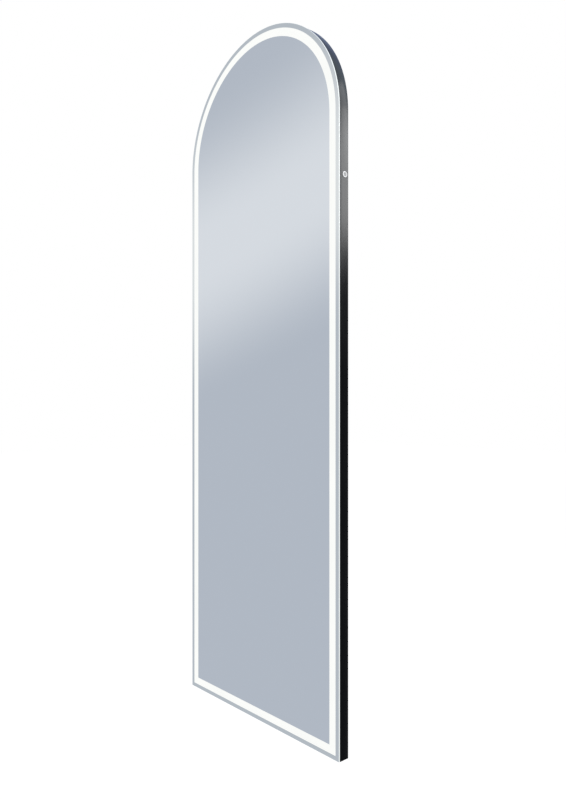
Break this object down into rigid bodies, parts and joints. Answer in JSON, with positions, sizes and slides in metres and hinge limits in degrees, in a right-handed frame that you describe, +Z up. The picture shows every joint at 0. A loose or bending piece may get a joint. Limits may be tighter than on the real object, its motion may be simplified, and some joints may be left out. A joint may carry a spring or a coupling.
{
  "type": "lighted full-length mirror",
  "caption": "Arched full-length wall mirror with a frosted light band near its edge, a slim black frame, a ring-lit push button on its side and a hooked hanging rail.",
  "frame": {"origin": "on the wall plane, in the middle of the wall rail's screw line", "axes": "+X to the viewer's right, +Y into the wall, +Z up; the mirror faces -Y"},
  "size_m": [0.6018, 0.0338, 1.83],
  "materials": {
    "mirror_glass": "polished",
    "frame_black": "satin",
    "bond_tape": "matte",
    "bare_aluminium": "satin",
    "opal_diffuser": "satin",
    "led_tape": "satin",
    "led_phosphor": "satin",
    "zinc_sheet": "satin",
    "zinc_steel": "satin",
    "screw_steel": "satin",
    "rivet_aluminium": "satin",
    "black_rubber": "matte",
    "white_plastic": "matte",
    "board_green": "satin",
    "dark_component": "satin",
    "terminal_brass": "satin",
    "black_plastic": "matte",
    "heating_film": "satin",
    "lead_white": "satin",
    "lead_black": "satin",
    "light_ring": "satin",
    "button_grey": "satin"
  },
  "bodies": {
    "wall_bracket": {"wall_rail": "zinc_steel"},
    "mirror": {"mirror_glass": "mirror_glass", "side_frame": "frame_black", "bottom_rail": "frame_black", "glass_tape": "bond_tape", "corner_key_left": "bare_aluminium", "corner_key_right": "bare_aluminium", "led_channel": "bare_aluminium", "diffuser": "opal_diffuser", "led_tape": "led_tape", "led_connector": "led_tape", "led_line": "led_phosphor", "back_panel": "zinc_sheet", "access_cover": "zinc_sheet", "hanging_tray": "zinc_steel", "mirror_rail": "zinc_steel", "upper_brace": "zinc_steel", "lower_brace": "zinc_steel", "channel_brackets": "zinc_steel", "panel_screws": "screw_steel", "driver_screws": "screw_steel", "cover_screws": "screw_steel", "cord_clamp_screws": "screw_steel", "corner_set_screws": "screw_steel", "button_spring": "screw_steel", "tray_rivets": "rivet_aluminium", "mirror_rail_rivets": "rivet_aluminium", "brace_rivets": "rivet_aluminium", "wall_bumpers": "black_rubber", "cable_grommet": "black_rubber", "button_gasket": "black_rubber", "driver_case": "white_plastic", "driver_lid": "white_plastic", "connection_box": "white_plastic", "terminal_block": "white_plastic", "driver_board": "board_green", "button_board": "board_green", "driver_components": "dark_component", "button_switch": "dark_component", "terminal_screws": "terminal_brass", "cord_clamp": "black_plastic", "lead_clips": "black_plastic", "button_nut": "black_plastic", "demister_terminal": "black_plastic", "demister_pad": "heating_film", "led_lead": "lead_white", "mains_link": "lead_white", "demister_lead": "lead_white", "button_lead": "lead_black", "button_light_ring": "light_ring"},
    "button": {"button_cap": "button_grey"}
  },
  "joints": [
    {"name": "lift_off", "type": "slide", "parent": "wall_bracket", "child": "mirror", "axis": [0, 0, 1], "range_m": [0, 0.016]},
    {"name": "button_press", "type": "slide", "parent": "mirror", "child": "button", "axis": [-1, 0, 0], "range_m": [0, 0.0012], "stiffness_N_per_m": 1200, "springref_m": -0.001, "deforming": ["button_spring"]}
  ]
}
